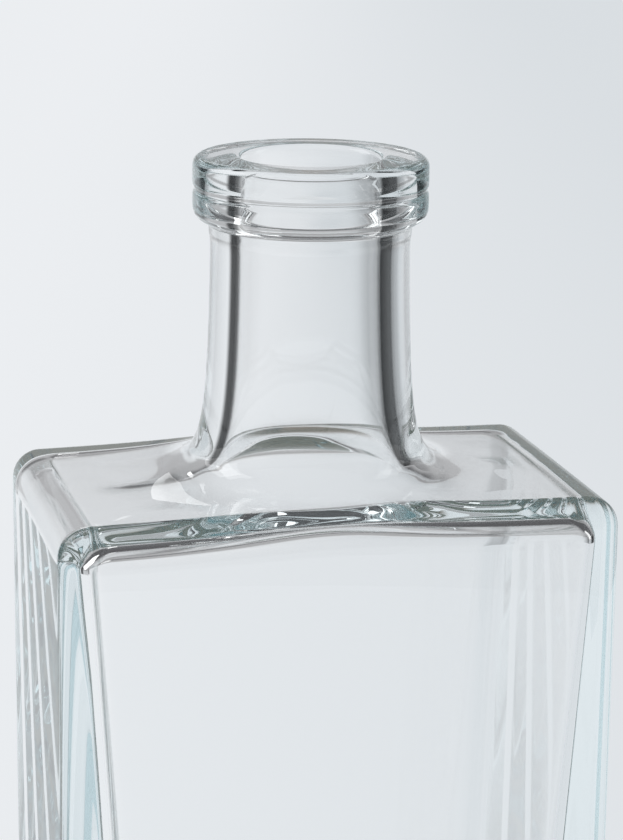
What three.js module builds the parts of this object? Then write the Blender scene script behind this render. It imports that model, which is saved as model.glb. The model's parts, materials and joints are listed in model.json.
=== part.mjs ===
// Liquor bottle: one piece of pressed and blown clear glass, empty and open.
// Millimetres, +Z up. The origin is the middle of the foot, the broad front face looks along -Y.
import * as THREE from 'three';

// Body
const BODY_WIDTH = 76;
const BODY_DEPTH = 47;
const OVERALL_HEIGHT = 190;
const UPRIGHT_EDGE_RADIUS = 4;
const TOP_EDGE_RADIUS = 4;
const HEEL_RADIUS = 3;
const SMALLEST_CORNER = 0.3;

// Foot: a flat bearing band round a shallow push-up
const BEARING_BAND = 6;
const PUSH_UP_SLOPE = 6;
const PUSH_UP = 1.6;

// Shoulder and neck: the neck sweeps out into the level shoulder along a hyperbola
const NECK_RISE = 44.2;
const NECK_RADIUS = 13;
const NECK_SWEEP = 15.5;
const NECK_SWEEP_END = 0.9;
const NECK_FOOT_RADIUS = 17;

// Finish: the collar that the stopper's head rests on, and the parting step below it
const COLLAR_RADIUS = 15.9;
const COLLAR_HEIGHT = 8.9;
const COLLAR_EDGE_RADIUS = 1.3;
const COLLAR_TAPER = 2;
const GROOVE_DROP = 4.4;
const GROOVE_DEPTH = 0.3;
const GROOVE_WIDTH = 0.9;
const PARTING_STEP_DROP = 10.9;
const PARTING_STEP = 0.25;

// Mouth and bore
const BORE_RADIUS = 9.25;
const MOUTH_EDGE_RADIUS = 1;
const BORE_TAPER = 0.5;

// Cavity: thin walls with sharp corners under the shoulder, thick walls with round corners at the foot.
// The bore sweeps out into its roof as the neck does into the shoulder.
const ROOF_THICKNESS = 3.4;
const BORE_SWEEP = 25;
const BORE_SWEEP_END = 1.5;
const BORE_FOOT_RADIUS = 13;
const ROOF_EDGE_RADIUS = 2.2;
const SIDE_WALL_TOP = 3.3;
const SIDE_WALL_FOOT = 10;
const FACE_WALL_TOP = 2.6;
const FACE_WALL_FOOT = 6;
const CAVITY_CORNER_TOP = 1.6;
const CAVITY_CORNER_FOOT = 4;
const FLOOR_THICKNESS = 9;
const FLOOR_RADIUS = 8;
const FLOOR_CROWN = 1;

// Fineness of the facets
const SIDE_STEPS = 5;
const CORNER_STEPS = 5;
const FACE_STEPS = 8;
const QUARTER_STEPS = SIDE_STEPS + CORNER_STEPS + FACE_STEPS;
const COLUMNS = 4 * QUARTER_STEPS;
const EDGE_LEVELS = 5;
const SHOULDER_LEVELS = 6;
const NECK_LEVELS = 9;
const WALL_LEVELS = 4;
const RIM_LEVELS = 3;
const TAPER_LEVELS = 2;

const SHOULDER_HEIGHT = OVERALL_HEIGHT - NECK_RISE;
const ROOF_HEIGHT = SHOULDER_HEIGHT - ROOF_THICKNESS;
const COLLAR_FOOT = OVERALL_HEIGHT - COLLAR_HEIGHT;
const PARTING_HEIGHT = OVERALL_HEIGHT - PARTING_STEP_DROP;

// Outlines

// A point of the first quarter of a rounded rectangle, counted from its side to its front or back.
function quarterPoint(step, { halfWidth, halfDepth, corner }) {
  const flatX = halfWidth - corner;
  const flatY = halfDepth - corner;
  if (step < SIDE_STEPS) return [halfWidth, (flatY * step) / SIDE_STEPS];
  if (step <= SIDE_STEPS + CORNER_STEPS) {
    const turn = (Math.PI / 2) * ((step - SIDE_STEPS) / CORNER_STEPS);
    return [flatX + corner * Math.cos(turn), flatY + corner * Math.sin(turn)];
  }
  return [(flatX * (QUARTER_STEPS - step)) / FACE_STEPS, halfDepth];
}

function rectanglePoint(column, outline) {
  const quarter = Math.floor(column / QUARTER_STEPS);
  const step = column % QUARTER_STEPS;
  const [x, y] = quarterPoint(quarter % 2 === 0 ? step : QUARTER_STEPS - step, outline);
  return [quarter === 0 || quarter === 3 ? x : -x, quarter < 2 ? y : -y];
}

function circlePoint(column, radius) {
  const turn = (2 * Math.PI * column) / COLUMNS;
  return [radius * Math.cos(turn), radius * Math.sin(turn)];
}

// Levels: closed rings of points, whose height is a number or a function of the distance to the axis

function level(pointAt, height) {
  return Array.from({ length: COLUMNS }, (_, column) => {
    const [x, y] = pointAt(column);
    const z = typeof height === 'function' ? height(Math.hypot(x, y)) : height;
    return new THREE.Vector3(x, y, z);
  });
}

const roundLevel = (radius, height) => level((column) => circlePoint(column, radius), height);

const squareLevel = (outline, height) => level((column) => rectanglePoint(column, outline), height);

function blendedLevel(outline, radius, roundness, height) {
  return level((column) => {
    const [x, y] = rectanglePoint(column, outline);
    const [u, v] = circlePoint(column, radius);
    return [THREE.MathUtils.lerp(x, u, roundness), THREE.MathUtils.lerp(y, v, roundness)];
  }, height);
}

function inset(outline, distance) {
  return {
    halfWidth: outline.halfWidth - distance,
    halfDepth: outline.halfDepth - distance,
    corner: Math.max(outline.corner - distance, SMALLEST_CORNER),
  };
}

const fractions = (count) => Array.from({ length: count }, (_, index) => (index + 1) / count);

// Fillet from a wall, or into it: how far a point of the quarter round lies in from the wall and
// below the end of the round.
function quarterRound(radius, fraction) {
  const turn = (Math.PI / 2) * fraction;
  return { inward: radius * (1 - Math.cos(turn)), below: radius * (1 - Math.sin(turn)) };
}

// A sweep leads from a level face up into a tube. Its end is how far its hyperbola stays above the
// height where it would run out level.
const neckSweep = { tube: NECK_RADIUS, sweep: NECK_SWEEP, end: NECK_SWEEP_END, face: SHOULDER_HEIGHT };
const boreSweep = {
  tube: BORE_RADIUS - BORE_TAPER,
  sweep: BORE_SWEEP,
  end: BORE_SWEEP_END,
  face: ROOF_HEIGHT,
};

const sweepHeight = (radius, { tube, sweep, end, face }) =>
  face - end + Math.hypot(sweep / (radius - tube), end);

const sweepRadius = (height, { tube, sweep, end, face }) =>
  tube + sweep / Math.sqrt((height - face + end) ** 2 - end ** 2);

// Outside, from the middle of the foot up to the collar

const bodyOutline = {
  halfWidth: BODY_WIDTH / 2,
  halfDepth: BODY_DEPTH / 2,
  corner: UPRIGHT_EDGE_RADIUS,
};

function footLevels() {
  const bearingOuter = inset(bodyOutline, HEEL_RADIUS);
  const bearingInner = inset(bodyOutline, HEEL_RADIUS + BEARING_BAND);
  const pushUpTop = inset(bodyOutline, HEEL_RADIUS + BEARING_BAND + PUSH_UP_SLOPE);
  const heel = fractions(EDGE_LEVELS).map((fraction) => {
    const { inward, below } = quarterRound(HEEL_RADIUS, 1 - fraction);
    return squareLevel(inset(bodyOutline, inward), below);
  });
  return [squareLevel(pushUpTop, PUSH_UP), squareLevel(bearingInner, 0), squareLevel(bearingOuter, 0), ...heel];
}

const shoulderRise = (radius) => sweepHeight(radius, neckSweep);

function shoulderLevels() {
  const wallTop = squareLevel(bodyOutline, (radius) => shoulderRise(radius) - TOP_EDGE_RADIUS);
  const edge = fractions(EDGE_LEVELS).map((fraction) => {
    const { inward, below } = quarterRound(TOP_EDGE_RADIUS, fraction);
    return squareLevel(inset(bodyOutline, inward), (radius) => shoulderRise(radius) - below);
  });
  const shoulderEdge = inset(bodyOutline, TOP_EDGE_RADIUS);
  const shoulder = fractions(SHOULDER_LEVELS).map((fraction) =>
    blendedLevel(shoulderEdge, NECK_FOOT_RADIUS, fraction, shoulderRise));
  return [wallTop, ...edge, ...shoulder];
}

const neckRadiusAt = (height) => sweepRadius(height, neckSweep);

function neckLevels() {
  const foot = shoulderRise(NECK_FOOT_RADIUS) - SHOULDER_HEIGHT;
  const top = PARTING_HEIGHT - SHOULDER_HEIGHT;
  const sweep = fractions(NECK_LEVELS).map((fraction) => {
    const height = SHOULDER_HEIGHT + foot * (top / foot) ** fraction;
    return roundLevel(neckRadiusAt(height), height);
  });
  const aboveStep = neckRadiusAt(PARTING_HEIGHT) + PARTING_STEP;
  return [...sweep, roundLevel(aboveStep, PARTING_HEIGHT + PARTING_STEP), roundLevel(aboveStep, COLLAR_FOOT)];
}

function collarLevels() {
  const neck = neckRadiusAt(PARTING_HEIGHT) + PARTING_STEP;
  const taper = fractions(TAPER_LEVELS).map((fraction) => {
    const turn = (Math.PI / 2) * fraction;
    return roundLevel(
      THREE.MathUtils.lerp(neck, COLLAR_RADIUS, Math.sin(turn)),
      COLLAR_FOOT + COLLAR_TAPER * (1 - Math.cos(turn)),
    );
  });
  const grooveHeight = OVERALL_HEIGHT - GROOVE_DROP;
  const groove = [
    roundLevel(COLLAR_RADIUS, grooveHeight - GROOVE_WIDTH / 2),
    roundLevel(COLLAR_RADIUS - GROOVE_DEPTH, grooveHeight),
    roundLevel(COLLAR_RADIUS, grooveHeight + GROOVE_WIDTH / 2),
  ];
  const edge = [0, ...fractions(RIM_LEVELS)].map((fraction) => {
    const { inward, below } = quarterRound(COLLAR_EDGE_RADIUS, fraction);
    return roundLevel(COLLAR_RADIUS - inward, OVERALL_HEIGHT - below);
  });
  return [...taper, ...groove, ...edge];
}

// Inside, from the mouth down to the floor

const roofRise = (radius) => sweepHeight(radius, boreSweep);

const boreRadiusAt = (height) => sweepRadius(height, boreSweep);

function mouthLevels() {
  const throat = boreRadiusAt(OVERALL_HEIGHT - MOUTH_EDGE_RADIUS);
  return [0, ...fractions(RIM_LEVELS)].map((fraction) => {
    const turn = (Math.PI / 2) * fraction;
    return roundLevel(
      throat + MOUTH_EDGE_RADIUS * (1 - Math.sin(turn)),
      OVERALL_HEIGHT - MOUTH_EDGE_RADIUS * (1 - Math.cos(turn)),
    );
  });
}

function boreLevels() {
  const top = OVERALL_HEIGHT - MOUTH_EDGE_RADIUS - ROOF_HEIGHT;
  const foot = roofRise(BORE_FOOT_RADIUS) - ROOF_HEIGHT;
  return fractions(NECK_LEVELS).map((fraction) => {
    const height = ROOF_HEIGHT + top * (foot / top) ** fraction;
    return roundLevel(boreRadiusAt(height), height);
  });
}

function cavityOutline(depth) {
  const lerp = THREE.MathUtils.lerp;
  return {
    halfWidth: BODY_WIDTH / 2 - lerp(SIDE_WALL_TOP, SIDE_WALL_FOOT, depth),
    halfDepth: BODY_DEPTH / 2 - lerp(FACE_WALL_TOP, FACE_WALL_FOOT, depth),
    corner: lerp(CAVITY_CORNER_TOP, CAVITY_CORNER_FOOT, depth),
  };
}

function roofLevels() {
  const wallTop = cavityOutline(0);
  const roofEdge = inset(wallTop, ROOF_EDGE_RADIUS);
  const roof = fractions(SHOULDER_LEVELS).map((fraction) =>
    blendedLevel(roofEdge, BORE_FOOT_RADIUS, 1 - fraction, roofRise));
  const edge = fractions(EDGE_LEVELS).map((fraction) => {
    const { inward, below } = quarterRound(ROOF_EDGE_RADIUS, 1 - fraction);
    return squareLevel(inset(wallTop, inward), (radius) => roofRise(radius) - below);
  });
  return [...roof, ...edge];
}

function wallLevels() {
  const top = ROOF_HEIGHT - ROOF_EDGE_RADIUS;
  const bottom = FLOOR_THICKNESS + FLOOR_RADIUS;
  return fractions(WALL_LEVELS).map((depth) =>
    squareLevel(cavityOutline(depth), THREE.MathUtils.lerp(top, bottom, depth)));
}

function floorLevels() {
  const wallFoot = cavityOutline(1);
  return fractions(EDGE_LEVELS).map((fraction) => {
    const { inward, below } = quarterRound(FLOOR_RADIUS, fraction);
    return squareLevel(inset(wallFoot, inward), FLOOR_THICKNESS + below);
  });
}

// The shell: all levels joined in order, and closed at the middle of the foot and of the floor

function shell(levels, startCentre, endCentre) {
  const points = [...levels.flat(), startCentre, endCentre];
  const start = points.length - 2;
  const end = points.length - 1;
  const triangles = [];
  for (let column = 0; column < COLUMNS; column += 1) {
    const next = (column + 1) % COLUMNS;
    triangles.push(start, next, column);
    for (let row = 0; row < levels.length - 1; row += 1) {
      const lower = row * COLUMNS;
      const upper = lower + COLUMNS;
      triangles.push(lower + column, lower + next, upper + next);
      triangles.push(lower + column, upper + next, upper + column);
    }
    const last = (levels.length - 1) * COLUMNS;
    triangles.push(last + column, last + next, end);
  }
  const geometry = new THREE.BufferGeometry().setFromPoints(points);
  geometry.setIndex(triangles);
  geometry.computeVertexNormals();
  return geometry;
}

const clearGlass = new THREE.MeshStandardMaterial({
  name: 'clear_glass',
  color: 0xdde6e8,
  roughness: 0.03,
  metalness: 0,
});

function makeBottle() {
  const levels = [
    ...footLevels(),
    ...shoulderLevels(),
    ...neckLevels(),
    ...collarLevels(),
    ...mouthLevels(),
    ...boreLevels(),
    ...roofLevels(),
    ...wallLevels(),
    ...floorLevels(),
  ];
  const footCentre = new THREE.Vector3(0, 0, PUSH_UP);
  const floorCentre = new THREE.Vector3(0, 0, FLOOR_THICKNESS + FLOOR_CROWN);
  const bottle = new THREE.Mesh(shell(levels, footCentre, floorCentre), clearGlass);
  bottle.name = 'bottle';
  return bottle;
}

const group = new THREE.Group();
group.name = 'liquor_bottle';
group.add(makeBottle());

export default group;
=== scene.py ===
# Liquor bottle in thick clear glass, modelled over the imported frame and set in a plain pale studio.
import json
import math

import bmesh
import bpy
from mathutils import Matrix, Vector

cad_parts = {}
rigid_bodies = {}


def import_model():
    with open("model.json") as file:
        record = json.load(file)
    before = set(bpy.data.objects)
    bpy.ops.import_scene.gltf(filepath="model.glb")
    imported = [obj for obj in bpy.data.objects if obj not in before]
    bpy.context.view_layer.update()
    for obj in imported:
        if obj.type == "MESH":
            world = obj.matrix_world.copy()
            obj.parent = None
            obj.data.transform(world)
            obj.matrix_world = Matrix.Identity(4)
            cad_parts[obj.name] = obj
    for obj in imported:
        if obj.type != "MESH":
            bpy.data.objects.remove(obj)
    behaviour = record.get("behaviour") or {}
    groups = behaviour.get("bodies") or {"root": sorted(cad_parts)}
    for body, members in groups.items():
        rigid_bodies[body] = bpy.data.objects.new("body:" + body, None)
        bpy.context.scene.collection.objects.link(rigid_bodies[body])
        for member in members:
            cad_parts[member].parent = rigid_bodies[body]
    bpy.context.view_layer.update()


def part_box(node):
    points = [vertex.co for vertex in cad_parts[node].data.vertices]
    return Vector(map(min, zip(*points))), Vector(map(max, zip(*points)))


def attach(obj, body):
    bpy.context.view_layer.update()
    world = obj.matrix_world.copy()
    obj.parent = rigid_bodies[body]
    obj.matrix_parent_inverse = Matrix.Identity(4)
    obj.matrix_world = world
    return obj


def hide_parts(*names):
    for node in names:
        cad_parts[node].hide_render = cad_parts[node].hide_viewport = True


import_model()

MM = 0.001


# Sizes of the bottle, in metres, from the frame where it states them

low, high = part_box("bottle")
HALF_WIDTH = (high[0] - low[0]) / 2
HALF_DEPTH = (high[1] - low[1]) / 2
MOUTH_HEIGHT = high[2]

UPRIGHT_EDGE_RADIUS = 4.0 * MM
TOP_EDGE_RADIUS = 4.0 * MM
HEEL_RADIUS = 3 * MM
BEARING_BAND = 6 * MM
PUSH_UP_SLOPE = 6 * MM
PUSH_UP = 1.6 * MM
SMALLEST_CORNER = 0.08

SHOULDER_HEIGHT = MOUTH_HEIGHT - 44.2 * MM
NECK_RADIUS = 13 * MM
NECK_SWEEP = 15.5 * MM * MM
NECK_SWEEP_END = 0.9 * MM
NECK_FOOT_RADIUS = 17 * MM

COLLAR_RADIUS = 15.9 * MM
COLLAR_FOOT = MOUTH_HEIGHT - 8.9 * MM
COLLAR_EDGE_RADIUS = 1.3 * MM
COLLAR_TAPER = 2 * MM
GROOVE_HEIGHT = MOUTH_HEIGHT - 4.4 * MM
GROOVE_DEPTH = 0.3 * MM
GROOVE_WIDTH = 0.9 * MM
GROOVE_PROFILE = ((-0.9, 0), (-0.5, 0.15), (-0.2, 0.85), (0.2, 0.85), (0.5, 0.15), (0.9, 0))
PARTING_HEIGHT = MOUTH_HEIGHT - 10.9 * MM
PARTING_STEP = 0.25 * MM

BORE_RADIUS = 9.25 * MM
BORE_TAPER = 0.5 * MM
MOUTH_EDGE_RADIUS = 1 * MM
ROOF_HEIGHT = SHOULDER_HEIGHT - 3.4 * MM
BORE_SWEEP = 25 * MM * MM
BORE_SWEEP_END = 1.5 * MM
BORE_FOOT_RADIUS = 13 * MM
ROOF_EDGE_RADIUS = 2.2 * MM
ROOF_CORNER_RADIUS = 2.4 * MM
SIDE_WALL_TOP = 3.3 * MM
SIDE_WALL_FOOT = 10 * MM
FACE_WALL_TOP = 2.6 * MM
FACE_WALL_FOOT = 6 * MM
CAVITY_CORNER_TOP = 2.4 * MM
CAVITY_CORNER_FOOT = 6 * MM
FLOOR_HEIGHT = 9 * MM
FLOOR_RADIUS = 8 * MM

# Fineness of the loops, and where along the walls they lie
SIDE_STEPS = 6
CORNER_STEPS = 8
FACE_STEPS = 10
QUARTER_STEPS = SIDE_STEPS + CORNER_STEPS + FACE_STEPS
COLUMNS = 4 * QUARTER_STEPS
OUTER_WALL_SHARES = (0.03, 0.3, 0.6, 0.9, 0.98)
INNER_WALL_DEPTHS = (0.015, 0.08, 0.25, 0.5, 0.75, 1.0)
EDGE_SHARE = 0.03
MERGE_DISTANCE = 0.001 * MM


# Small helpers


def lerp(start, end, share):
    return start + (end - start) * share


def shares(count):
    return [(index + 1) / count for index in range(count)]


def deselect_all():
    for thing in bpy.context.view_layer.objects:
        thing.select_set(False)


def make_active(thing):
    deselect_all()
    thing.select_set(True)
    bpy.context.view_layer.objects.active = thing


# Outlines: a loop of points is part rounded rectangle, part circle


def quarter_point(step, half_width, half_depth, corner):
    flat_x = half_width - corner
    flat_y = half_depth - corner
    if step < SIDE_STEPS:
        return half_width, flat_y * step / SIDE_STEPS
    if step <= SIDE_STEPS + CORNER_STEPS:
        turn = math.pi / 2 * (step - SIDE_STEPS) / CORNER_STEPS
        return flat_x + corner * math.cos(turn), flat_y + corner * math.sin(turn)
    return flat_x * (QUARTER_STEPS - step) / FACE_STEPS, half_depth


def rectangle_point(column, outline):
    quarter, step = divmod(column, QUARTER_STEPS)
    x, y = quarter_point(step if quarter % 2 == 0 else QUARTER_STEPS - step, *outline)
    return (x if quarter in (0, 3) else -x), (y if quarter < 2 else -y)


def circle_point(column, radius):
    turn = 2 * math.pi * column / COLUMNS
    return radius * math.cos(turn), radius * math.sin(turn)


def level(height, outline=None, radius=0.0, roundness=0.0):
    """One loop: height is a number, or a function of the distance to the axis."""
    points = []
    for column in range(COLUMNS):
        x, y = rectangle_point(column, outline) if outline else (0.0, 0.0)
        u, v = circle_point(column, radius)
        x, y = lerp(x, u, roundness), lerp(y, v, roundness)
        points.append(Vector((x, y, height(math.hypot(x, y)) if callable(height) else height)))
    return points


def round_level(radius, height):
    return level(height, radius=radius, roundness=1.0)


def inset(outline, distance):
    half_width, half_depth, corner = outline
    return half_width - distance, half_depth - distance, max(corner - distance, corner * SMALLEST_CORNER)


def quarter_round(radius, share):
    turn = math.pi / 2 * share
    return radius * (1 - math.cos(turn)), radius * (1 - math.sin(turn))


BODY = (HALF_WIDTH, HALF_DEPTH, UPRIGHT_EDGE_RADIUS)


def sweep_height(radius, tube, sweep, end, face):
    """Height of a level face that sweeps up into a tube, at a distance to the axis."""
    return face - end + math.hypot(sweep / (radius - tube), end)


def sweep_radius(height, tube, sweep, end, face):
    return tube + sweep / math.sqrt((height - face + end) ** 2 - end ** 2)


OUTER_SWEEP = (NECK_RADIUS, NECK_SWEEP, NECK_SWEEP_END, SHOULDER_HEIGHT)
INNER_SWEEP = (BORE_RADIUS - BORE_TAPER, BORE_SWEEP, BORE_SWEEP_END, ROOF_HEIGHT)


def shoulder_rise(radius):
    return sweep_height(radius, *OUTER_SWEEP)


def neck_radius(height):
    return sweep_radius(height, *OUTER_SWEEP)


def roof_rise(radius):
    return sweep_height(radius, *INNER_SWEEP)


def bore_radius(height):
    return sweep_radius(height, *INNER_SWEEP)


def cavity_outline(depth):
    return (
        HALF_WIDTH - lerp(SIDE_WALL_TOP, SIDE_WALL_FOOT, depth),
        HALF_DEPTH - lerp(FACE_WALL_TOP, FACE_WALL_FOOT, depth),
        lerp(CAVITY_CORNER_TOP, CAVITY_CORNER_FOOT, depth),
    )


# Levels of the outside, from the foot up


def foot_levels():
    band_end = HEEL_RADIUS + BEARING_BAND
    loops = [level(PUSH_UP, inset(BODY, band_end + PUSH_UP_SLOPE)),
             level(PUSH_UP * 0.5, inset(BODY, band_end + PUSH_UP_SLOPE * 0.4)),
             level(0.0, inset(BODY, band_end)),
             level(0.0, inset(BODY, HEEL_RADIUS + 0.5 * BEARING_BAND)),
             level(0.0, inset(BODY, HEEL_RADIUS))]
    for share in shares(6):
        inward, below = quarter_round(HEEL_RADIUS, 1 - share)
        loops.append(level(below, inset(BODY, inward)))
    return loops


def outer_wall_levels():
    return [level(lerp(HEEL_RADIUS, SHOULDER_HEIGHT - TOP_EDGE_RADIUS, share), BODY)
            for share in OUTER_WALL_SHARES]


def shoulder_levels():
    loops = [level(lambda radius: shoulder_rise(radius) - TOP_EDGE_RADIUS, BODY)]
    for share in shares(8):
        inward, below = quarter_round(TOP_EDGE_RADIUS, share)
        loops.append(level(lambda radius: shoulder_rise(radius) - below, inset(BODY, inward)))
    edge = inset(BODY, TOP_EDGE_RADIUS)
    for share in [EDGE_SHARE] + shares(12):
        loops.append(level(shoulder_rise, edge, NECK_FOOT_RADIUS, share))
    return loops


def neck_levels():
    foot = shoulder_rise(NECK_FOOT_RADIUS) - SHOULDER_HEIGHT
    top = PARTING_HEIGHT - SHOULDER_HEIGHT
    loops = []
    for share in shares(12):
        height = SHOULDER_HEIGHT + foot * (top / foot) ** share
        loops.append(round_level(neck_radius(height), height))
    above_step = neck_radius(PARTING_HEIGHT) + PARTING_STEP
    loops.append(round_level(above_step, PARTING_HEIGHT + PARTING_STEP))
    loops.append(round_level(above_step, lerp(PARTING_HEIGHT, COLLAR_FOOT, 0.6)))
    loops.append(round_level(above_step, COLLAR_FOOT))
    return loops


def collar_levels():
    neck = neck_radius(PARTING_HEIGHT) + PARTING_STEP
    loops = []
    for share in shares(5):
        turn = math.pi / 2 * share
        radius = lerp(neck, COLLAR_RADIUS, math.sin(turn))
        loops.append(round_level(radius, COLLAR_FOOT + COLLAR_TAPER * (1 - math.cos(turn))))
    for rise, cut in GROOVE_PROFILE:
        loops.append(round_level(COLLAR_RADIUS - GROOVE_DEPTH * cut, GROOVE_HEIGHT + GROOVE_WIDTH * rise))
    for share in [0.0] + shares(6):
        inward, below = quarter_round(COLLAR_EDGE_RADIUS, share)
        loops.append(round_level(COLLAR_RADIUS - inward, MOUTH_HEIGHT - below))
    return loops


# Levels of the inside, from the mouth down


def mouth_levels():
    throat = bore_radius(MOUTH_HEIGHT - MOUTH_EDGE_RADIUS)
    loops = [round_level(lerp(throat, COLLAR_RADIUS, 0.5), MOUTH_HEIGHT)]
    for share in [0.0] + shares(5):
        turn = math.pi / 2 * share
        loops.append(round_level(throat + MOUTH_EDGE_RADIUS * (1 - math.sin(turn)),
                                 MOUTH_HEIGHT - MOUTH_EDGE_RADIUS * (1 - math.cos(turn))))
    return loops


def bore_levels():
    top = MOUTH_HEIGHT - MOUTH_EDGE_RADIUS - ROOF_HEIGHT
    foot = roof_rise(BORE_FOOT_RADIUS) - ROOF_HEIGHT
    loops = []
    for share in shares(14):
        height = ROOF_HEIGHT + top * (foot / top) ** share
        loops.append(round_level(bore_radius(height), height))
    return loops


def roof_edge_level(share):
    """A loop of the rounding between wall and roof, which is widest at the four corners."""
    half_width, half_depth, corner = cavity_outline(0)
    points = []
    for column in range(COLUMNS):
        x, y = rectangle_point(column, (half_width, half_depth, corner))
        cornerness = abs(x * y) / (half_width * half_depth)
        radius = lerp(ROOF_EDGE_RADIUS, ROOF_CORNER_RADIUS, cornerness)
        inward, below = quarter_round(radius, share)
        outline = (half_width - inward, half_depth - inward,
                   lerp(corner, ROOF_CORNER_RADIUS, inward / ROOF_CORNER_RADIUS))
        x, y = rectangle_point(column, outline)
        points.append(Vector((x, y, roof_rise(math.hypot(x, y)) - below)))
    return points


def roof_level(share):
    """A loop of the roof, from its edge (0) to the foot of the bore (1)."""
    points = []
    for column, edge in enumerate(roof_edge_level(1)):
        u, v = circle_point(column, BORE_FOOT_RADIUS)
        x, y = lerp(edge.x, u, share), lerp(edge.y, v, share)
        points.append(Vector((x, y, roof_rise(math.hypot(x, y)))))
    return points


def roof_levels():
    return ([roof_level(1 - share) for share in shares(12)]
            + [roof_edge_level(1 - share) for share in shares(8)])


def inner_wall_levels():
    top = ROOF_HEIGHT - ROOF_CORNER_RADIUS
    bottom = FLOOR_HEIGHT + FLOOR_RADIUS
    return [level(lerp(top, bottom, depth), cavity_outline(depth))
            for depth in INNER_WALL_DEPTHS]


def floor_levels():
    wall_foot = cavity_outline(1)
    loops = []
    for share in shares(8):
        inward, below = quarter_round(FLOOR_RADIUS, share)
        loops.append(level(FLOOR_HEIGHT + below, inset(wall_foot, inward)))
    return loops


# The glass is drawn up loop by loop: the open edge is extruded and set on the next level, then the waves come


def loop_order(vertex):
    """Where a vertex comes in its loop, counted from the +X side."""
    return (math.atan2(vertex.co.y, vertex.co.x) + 0.01) % (2 * math.pi)


def set_open_loop(mesh, points):
    edit = bmesh.from_edit_mesh(mesh)
    loop = sorted((vertex for vertex in edit.verts if vertex.select), key=loop_order)
    for vertex, point in zip(loop, points):
        vertex.co = point
    bmesh.update_edit_mesh(mesh)


def close_loop():
    """Fill the open loop with a grid that starts in the middle of a rounded corner."""
    bpy.ops.mesh.fill_grid(span=2 * SIDE_STEPS + CORNER_STEPS, offset=-(SIDE_STEPS + CORNER_STEPS // 2))


WAVE_HEIGHT = 0.34 * MM
WAVE_SCALE = 15 * MM
WAVE_STRETCH = (1.4, 1.0, 3.5)
OUTSIDE_WAVINESS = 0.02
INNER_WALL_WAVINESS = 0.04
SKIN = 1.6 * MM
STILL_END = 2 * MM
END_FADE = 10 * MM
STILL_EDGE = 5 * MM
EDGE_FADE = 6 * MM
ROOF_BAND = 3 * MM
ROOF_FADE = 2 * MM


def fade(value, start, width):
    return min(1.0, max(0.0, (value - start) / width))


def is_inside(place):
    """Whether a place lies on the inner surface, more than a skin away from the outer one."""
    if abs(place.x) >= HALF_WIDTH - SKIN or abs(place.y) >= HALF_DEPTH - SKIN or place.z <= 3 * SKIN:
        return False
    distance = math.hypot(place.x, place.y)
    return distance < NECK_RADIUS - SKIN or place.z < shoulder_rise(max(distance, NECK_RADIUS * 1.01)) - SKIN


def waviness(place):
    """Little on the outside, which a mould forms, and more under the shoulder, where the glass flows free."""
    ends = fade(place.z, STILL_END, END_FADE) * fade(MOUTH_HEIGHT - STILL_END - place.z, 0.0, END_FADE)
    if not is_inside(place):
        return ends * OUTSIDE_WAVINESS
    from_edge = min(HALF_WIDTH - abs(place.x), HALF_DEPTH - abs(place.y))
    roof = fade(place.z, ROOF_HEIGHT - ROOF_BAND, ROOF_FADE) * fade(from_edge, STILL_EDGE, EDGE_FADE)
    return ends * lerp(INNER_WALL_WAVINESS, 1.0, roof)


def make_wavy(bottle):
    """Blown glass is never quite even: long shallow waves run along the shoulder and down the bore."""
    bpy.ops.object.empty_add(location=(0, 0, 0))
    stretch = bpy.context.object
    stretch.scale = WAVE_STRETCH
    bpy.context.view_layer.update()
    free = bottle.vertex_groups.new(name="wavy")
    for vertex in bottle.data.vertices:
        free.add([vertex.index], waviness(vertex.co), "REPLACE")
    waves = bpy.data.textures.new("glass_waves", "CLOUDS")
    waves.noise_scale = WAVE_SCALE
    waves.noise_depth = 1
    make_active(bottle)
    ripple = bottle.modifiers.new("waves", "DISPLACE")
    ripple.texture = waves
    ripple.texture_coords = "OBJECT"
    ripple.texture_coords_object = stretch
    ripple.vertex_group = free.name
    ripple.mid_level = 0.5
    ripple.strength = WAVE_HEIGHT
    bpy.ops.object.modifier_apply(modifier=ripple.name)
    bottle.vertex_groups.clear()
    bpy.data.objects.remove(stretch)


def blow_bottle():
    deselect_all()
    bpy.ops.mesh.primitive_circle_add(vertices=COLUMNS, radius=HALF_DEPTH, rotation=(0, 0, 0))
    bottle = bpy.context.object
    bottle.name = "bottle_glass"
    bpy.ops.object.mode_set(mode="EDIT")
    bpy.ops.mesh.select_mode(type="EDGE")
    bpy.ops.mesh.select_all(action="SELECT")
    loops = (foot_levels() + outer_wall_levels() + shoulder_levels() + neck_levels() + collar_levels()
             + mouth_levels() + bore_levels() + roof_levels() + inner_wall_levels() + floor_levels())
    set_open_loop(bottle.data, loops[0])
    close_loop()
    bpy.ops.mesh.select_all(action="DESELECT")
    bpy.ops.mesh.select_non_manifold()
    for points in loops[1:]:
        bpy.ops.mesh.extrude_edges_move()
        set_open_loop(bottle.data, points)
    close_loop()
    bpy.ops.mesh.select_all(action="SELECT")
    bpy.ops.mesh.remove_doubles(threshold=MERGE_DISTANCE)
    bpy.ops.mesh.normals_make_consistent(inside=False)
    bpy.ops.mesh.faces_shade_smooth()
    bpy.ops.object.mode_set(mode="OBJECT")
    smooth = bottle.modifiers.new("fine_surface", "SUBSURF")
    smooth.levels = 1
    smooth.render_levels = 1
    bpy.ops.object.modifier_apply(modifier=smooth.name)
    make_wavy(bottle)
    return bottle


# Materials


def new_material(name):
    material = bpy.data.materials.new(name)
    material.use_nodes = True
    nodes = material.node_tree.nodes
    nodes.clear()
    return material, nodes, material.node_tree.links


def feed(links, socket, value):
    """Link a socket to another node, or set it to a constant."""
    if isinstance(value, bpy.types.NodeSocket):
        links.new(value, socket)
    else:
        socket.default_value = value


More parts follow.
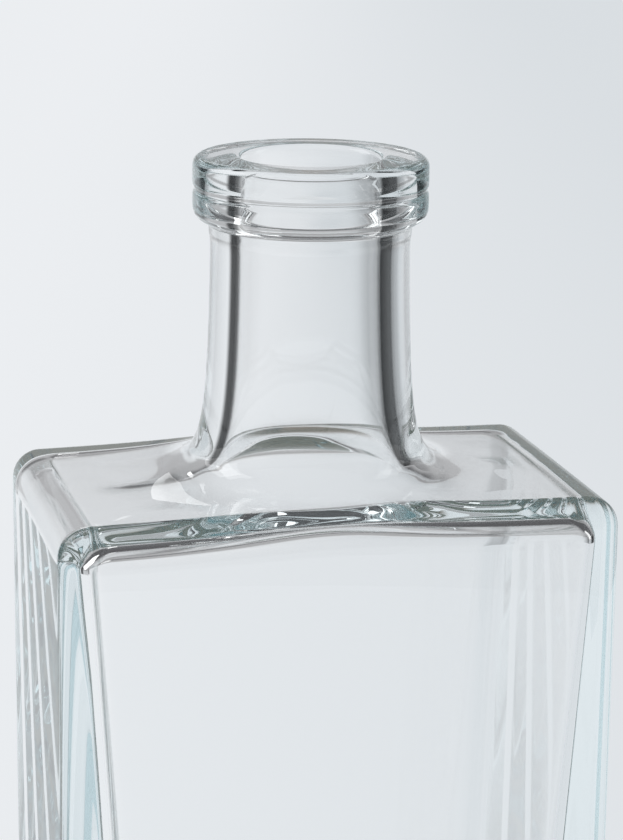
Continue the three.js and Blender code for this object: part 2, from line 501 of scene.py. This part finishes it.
def math_value(nodes, links, operation, *values):
    node = nodes.new("ShaderNodeMath")
    node.operation = operation
    for socket, value in zip(node.inputs, values):
        feed(links, socket, value)
    return node.outputs["Value"]


def share_of(nodes, links, source, start, end, interpolation="SMOOTHSTEP"):
    """0 up to start, 1 from end on."""
    spread = nodes.new("ShaderNodeMapRange")
    spread.interpolation_type = interpolation
    spread.inputs["From Min"].default_value = start
    spread.inputs["From Max"].default_value = end
    links.new(source, spread.inputs["Value"])
    return spread.outputs["Result"]


def along(nodes, links, vector, direction):
    """How far a vector reaches in a direction."""
    node = nodes.new("ShaderNodeVectorMath")
    node.operation = "DOT_PRODUCT"
    links.new(vector, node.inputs[0])
    node.inputs[1].default_value = direction
    return node.outputs["Value"]


def colour_mix(nodes, links, share, first, second):
    mix = nodes.new("ShaderNodeMix")
    mix.data_type = "RGBA"
    links.new(share, mix.inputs["Factor"])
    feed(links, mix.inputs["A"], first)
    feed(links, mix.inputs["B"], second)
    return mix.outputs["Result"]


def set_surface(nodes, links, share, first, second):
    """Make the surface a mix of two shaders, and return the output node."""
    output = nodes.new("ShaderNodeOutputMaterial")
    mix = nodes.new("ShaderNodeMixShader")
    links.new(share, mix.inputs["Fac"])
    links.new(first, mix.inputs[1])
    links.new(second, mix.inputs[2])
    links.new(mix.outputs["Shader"], output.inputs["Surface"])
    return output


GLASS_IOR = 1.52
GLASS_TINT = (0.40, 0.72, 0.78, 1)
GLASS_TINT_DENSITY = 4.0
GLASS_SHADOW = (0.85, 0.87, 0.88, 1)


def clear_glass():
    """Clear glass with a blue-green tint that grows with its thickness, and a pale shadow."""
    material, nodes, links = new_material("clear_flint_glass")
    glass = nodes.new("ShaderNodeBsdfPrincipled")
    glass.inputs["Base Color"].default_value = (1, 1, 1, 1)
    glass.inputs["Roughness"].default_value = 0.0
    glass.inputs["IOR"].default_value = GLASS_IOR
    glass.inputs["Transmission Weight"].default_value = 1.0
    clear = nodes.new("ShaderNodeBsdfTransparent")
    clear.inputs["Color"].default_value = GLASS_SHADOW
    ray = nodes.new("ShaderNodeLightPath")
    shadow = ray.outputs["Is Shadow Ray"]
    output = set_surface(nodes, links, shadow, glass.outputs["BSDF"], clear.outputs["BSDF"])
    tint = nodes.new("ShaderNodeVolumeAbsorption")
    tint.inputs["Color"].default_value = GLASS_TINT
    tint.inputs["Density"].default_value = GLASS_TINT_DENSITY
    links.new(tint.outputs["Volume"], output.inputs["Volume"])
    return material


FLOOR_MATT = (0.75, 0.77, 0.79, 1)
# Painted fall of light on the floor's glow: paler on the camera's left, greyer on its right
PALE_LEFT = (0.84, 0.86, 0.885, 1)
PALE_RIGHT = (0.70, 0.735, 0.765, 1)
PALE_SPREAD = (-0.18, 0.22)
UNDER_SHADE = (0.27, 0.24, 0.21, 1)
UNDER_REACH = (0.04, 0.105)
FOOT_SHADE = 0.82
FLOOR_GLOW = 0.9
FLOOR_GAIN = 0.09


def pale_ground():
    """A pale floor, part glow and part matt, its glow painted paler on the camera's left than on its right as
    light falls across it, with a shade round the foot that is deeper through the glass.
    """
    material, nodes, links = new_material("pale_ground")
    ray = nodes.new("ShaderNodeLightPath")
    place = nodes.new("ShaderNodeTexCoord").outputs["Object"]
    # Painted fall of light across the floor, from pale on the camera's left to greyer on its right
    across = share_of(nodes, links, along(nodes, links, place, CAMERA_RIGHT), *PALE_SPREAD)
    pale = colour_mix(nodes, links, across, PALE_LEFT, PALE_RIGHT)
    away = nodes.new("ShaderNodeVectorMath")
    away.operation = "LENGTH"
    links.new(place, away.inputs[0])
    camera_shade = math_value(nodes, links, "MULTIPLY", ray.outputs["Is Camera Ray"], FOOT_SHADE)
    open_floor = math_value(nodes, links, "MAXIMUM",
                            share_of(nodes, links, away.outputs["Value"], *UNDER_REACH), camera_shade)
    glow = nodes.new("ShaderNodeEmission")
    links.new(colour_mix(nodes, links, open_floor, UNDER_SHADE, pale), glow.inputs["Color"])
    links.new(math_value(nodes, links, "MULTIPLY_ADD", ray.outputs["Is Camera Ray"], FLOOR_GAIN, 1.0),
              glow.inputs["Strength"])
    matt = nodes.new("ShaderNodeBsdfDiffuse")
    matt.inputs["Color"].default_value = FLOOR_MATT
    direct = math_value(nodes, links, "MULTIPLY_ADD",
                        ray.outputs["Is Camera Ray"], FLOOR_GLOW, ray.outputs["Is Glossy Ray"])
    seen = math_value(nodes, links, "MAXIMUM", direct, ray.outputs["Is Transmission Ray"])
    set_surface(nodes, links, seen, matt.outputs["BSDF"], glow.outputs["Emission"])
    return material


SURROUND_DARK = (0.012, 0.013, 0.014, 1)

# How dark the room is round the bottle: stops of azimuth in degrees, 0 straight behind it, and cover
SURROUND_COVER = ((-180, 0.4), (-110, 0.4), (-80, 0.3), (-66, 0.9), (-60, 1.0), (-52, 1.0), (-40, 0.0),
                  (0, 0.0), (9, 0.0), (25, 0.4), (34, 0.6), (41, 0.95), (68, 1.0), (80, 0.3), (110, 0.4),
                  (180, 0.4))


def surround_material():
    """Dark where the room beside the backdrop is dark, clear elsewhere, by the angle round the bottle."""
    material, nodes, links = new_material("surround")
    place = nodes.new("ShaderNodeTexCoord")
    parts = nodes.new("ShaderNodeSeparateXYZ")
    links.new(place.outputs["Object"], parts.inputs["Vector"])
    angle = math_value(nodes, links, "ARCTAN2", parts.outputs["X"], parts.outputs["Y"])
    ramp = nodes.new("ShaderNodeValToRGB")
    ramp.color_ramp.interpolation = "EASE"
    links.new(share_of(nodes, links, angle, -math.pi, math.pi, "LINEAR"), ramp.inputs["Fac"])
    stops = ramp.color_ramp.elements
    while len(stops) > 1:
        stops.remove(stops[-1])
    for index, (azimuth, cover) in enumerate(SURROUND_COVER):
        position = (azimuth + 180) / 360
        stop = stops.new(position) if index else stops[0]
        stop.position = position
        stop.color = (cover, cover, cover, 1)
    clear = nodes.new("ShaderNodeBsdfTransparent")
    dark = nodes.new("ShaderNodeEmission")
    dark.inputs["Color"].default_value = SURROUND_DARK
    set_surface(nodes, links, ramp.outputs["Color"], clear.outputs["BSDF"], dark.outputs["Emission"])
    return material


# Studio

CAMERA_DISTANCE = 368.1 * MM
CAMERA_HEIGHT = 247.9 * MM
CAMERA_YAW = math.radians(14.30)
CAMERA_PAN = math.radians(0.07)
CAMERA_PITCH = math.radians(14.40)
CAMERA_ROLL = math.radians(0.64)
CAMERA_RIGHT = (math.cos(CAMERA_YAW), -math.sin(CAMERA_YAW), 0)
CAMERA_SIDE = (-math.sin(CAMERA_YAW), -math.cos(CAMERA_YAW), 0)
FOCAL_PIXELS = 2776
IMAGE_HEIGHT = 840
SENSOR = 36
NEAREST = 0.01


def studio_camera():
    data = bpy.data.cameras.new("camera")
    data.sensor_width = SENSOR
    data.lens = FOCAL_PIXELS / IMAGE_HEIGHT * SENSOR
    data.clip_start = NEAREST
    camera = bpy.data.objects.new("camera", data)
    bpy.context.scene.collection.objects.link(camera)
    place = Vector(CAMERA_SIDE) * CAMERA_DISTANCE
    place.z = CAMERA_HEIGHT
    turn = (Matrix.Rotation(-(CAMERA_YAW + CAMERA_PAN), 4, "Z")
            @ Matrix.Rotation(math.pi / 2 - CAMERA_PITCH, 4, "X")
            @ Matrix.Rotation(CAMERA_ROLL, 4, "Z"))
    camera.matrix_world = Matrix.Translation(place) @ turn
    bpy.context.scene.camera = camera


LAMP_AIM = Vector((0, 0, 0.12))


def area_lamp(name, azimuth, distance, height, size, watts):
    """A softbox: azimuth 0 is straight behind the bottle as the camera sees it, + is to the right."""
    data = bpy.data.lights.new(name, "AREA")
    data.shape = "RECTANGLE"
    data.size, data.size_y = size
    data.energy = watts
    lamp = bpy.data.objects.new(name, data)
    bpy.context.scene.collection.objects.link(lamp)
    heading = CAMERA_YAW + math.radians(azimuth)
    lamp.location = Vector((math.sin(heading) * distance, math.cos(heading) * distance, height))
    lamp.rotation_euler = (LAMP_AIM - lamp.location).to_track_quat("-Z", "Y").to_euler()


SURROUND_RADIUS = 0.45
SURROUND_HEIGHT = 0.30
SURROUND_SIDES = 128


def surround():
    deselect_all()
    bpy.ops.mesh.primitive_cylinder_add(vertices=SURROUND_SIDES, radius=SURROUND_RADIUS,
                                        depth=SURROUND_HEIGHT, end_fill_type="NOTHING",
                                        rotation=(0, 0, -CAMERA_YAW), location=(0, 0, SURROUND_HEIGHT / 2))
    ring = bpy.context.object
    ring.name = "surround"
    ring.visible_camera = False
    ring.visible_diffuse = False
    ring.visible_shadow = False
    ring.data.materials.append(surround_material())


GROUND_RADIUS = 6
GROUND_SIDES = 96
GROUND_DROP = 0.3 * MM


def ground():
    deselect_all()
    bpy.ops.mesh.primitive_circle_add(vertices=GROUND_SIDES, radius=GROUND_RADIUS, fill_type="NGON")
    floor = bpy.context.object
    floor.name = "ground"
    floor.location.z = -GROUND_DROP
    floor.data.materials.append(pale_ground())


ROOM_PALE = (0.78, 0.80, 0.82, 1)
ROOM_BEHIND = (0.46, 0.46, 0.47, 1)
ROOM_DIM = (0.14, 0.14, 0.145, 1)
ROOM_ABOVE = (0.10, 0.10, 0.105, 1)
BEHIND_HEIGHT = (0.0, 0.12)
ABOVE_HEIGHT = (0.30, 0.46)
DIM_SIDE = (0.45, 0.75)


def pale_world():
    """Pale at the horizon, greyer above it, and dim overhead and on the camera's side."""
    world = bpy.data.worlds.new("pale_room")
    world.use_nodes = True
    bpy.context.scene.world = world
    nodes = world.node_tree.nodes
    links = world.node_tree.links
    nodes.clear()
    output = nodes.new("ShaderNodeOutputWorld")
    back = nodes.new("ShaderNodeBackground")
    ray = nodes.new("ShaderNodeLightPath")
    way = nodes.new("ShaderNodeTexCoord").outputs["Generated"]
    parts = nodes.new("ShaderNodeSeparateXYZ")
    links.new(way, parts.inputs["Vector"])
    height = parts.outputs["Z"]
    frontward = along(nodes, links, way, CAMERA_SIDE)
    behind = colour_mix(nodes, links, share_of(nodes, links, height, *BEHIND_HEIGHT), ROOM_PALE, ROOM_BEHIND)
    above = colour_mix(nodes, links, share_of(nodes, links, height, *ABOVE_HEIGHT), behind, ROOM_ABOVE)
    room = colour_mix(nodes, links, share_of(nodes, links, frontward, *DIM_SIDE), above, ROOM_DIM)
    links.new(colour_mix(nodes, links, ray.outputs["Is Camera Ray"], room, ROOM_PALE), back.inputs["Color"])
    links.new(back.outputs["Background"], output.inputs["Surface"])


GLASS_BOUNCES = 64
CLEAR_BOUNCES = 32


def studio():
    studio_camera()
    ground()
    pale_world()
    surround()
    area_lamp("softbox_left", azimuth=-75, distance=0.8, height=0.6, size=(0.5, 0.7), watts=1.5)
    area_lamp("softbox_right", azimuth=80, distance=0.8, height=0.5, size=(0.3, 0.6), watts=0.5)
    area_lamp("softbox_back", azimuth=-12, distance=1.0, height=0.62, size=(0.18, 0.16), watts=0.12)
    scene = bpy.context.scene
    scene.view_settings.view_transform = "Standard"
    scene.cycles.max_bounces = GLASS_BOUNCES
    scene.cycles.transmission_bounces = GLASS_BOUNCES
    scene.cycles.glossy_bounces = GLASS_BOUNCES
    scene.cycles.transparent_max_bounces = CLEAR_BOUNCES


bottle = blow_bottle()
bottle.data.materials.clear()
bottle.data.materials.append(clear_glass())
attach(bottle, "root")
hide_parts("bottle")
studio()
